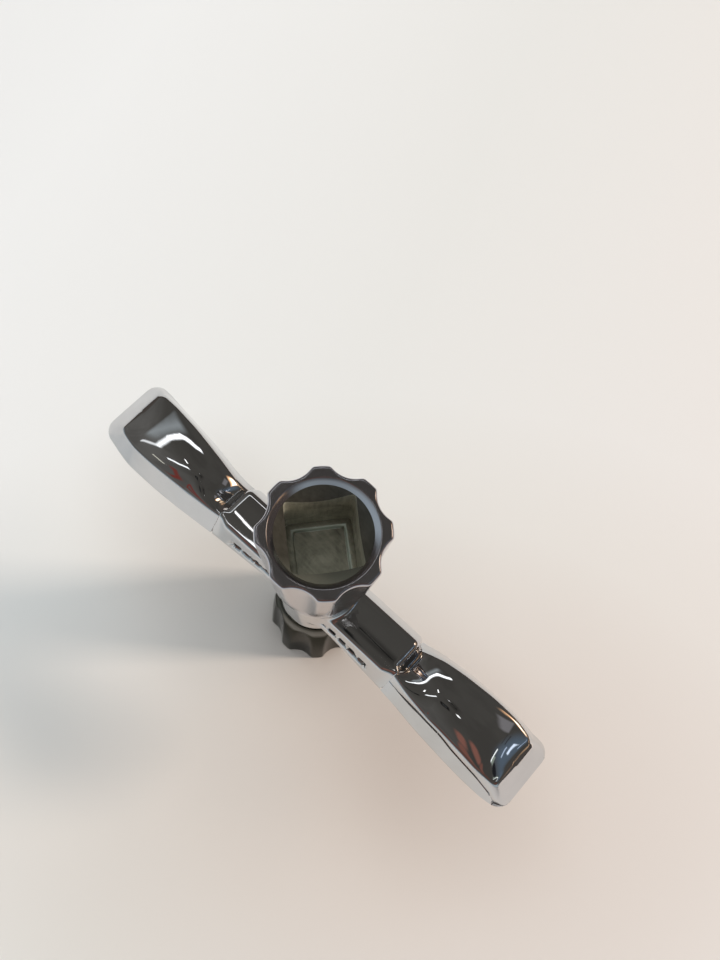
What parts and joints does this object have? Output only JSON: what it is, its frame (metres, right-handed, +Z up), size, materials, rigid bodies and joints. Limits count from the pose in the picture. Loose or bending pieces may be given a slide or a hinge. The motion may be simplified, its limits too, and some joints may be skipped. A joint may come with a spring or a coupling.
{
  "type": "lug wrench",
  "caption": "Small double-ended cross-handle key for square-headed lugs: a chrome bar with paddle wings, crossed by an upright with a fluted square-socket nozzle at each end.",
  "frame": {"origin": "centre of the lower nozzle's rim, on the surface the key stands on", "axes": "+Z up the nozzle axis, +X along the handle, +Y away from the side with the row of dashes"},
  "size_m": [0.0606, 0.0118, 0.0478],
  "materials": {
    "chrome_bar": "polished",
    "chrome_nozzle": "polished",
    "core_steel": "machined",
    "dull_plug": "tarnished"
  },
  "bodies": {
    "root": {"hub_block": "chrome_bar", "left_wing": "chrome_bar", "right_wing": "chrome_bar", "cross_rod": "core_steel", "core_shaft": "core_steel", "upper_socket": "chrome_nozzle", "lower_socket": "chrome_nozzle", "upper_floor_plug": "dull_plug", "lower_floor_plug": "dull_plug"}
  },
  "joints": []
}
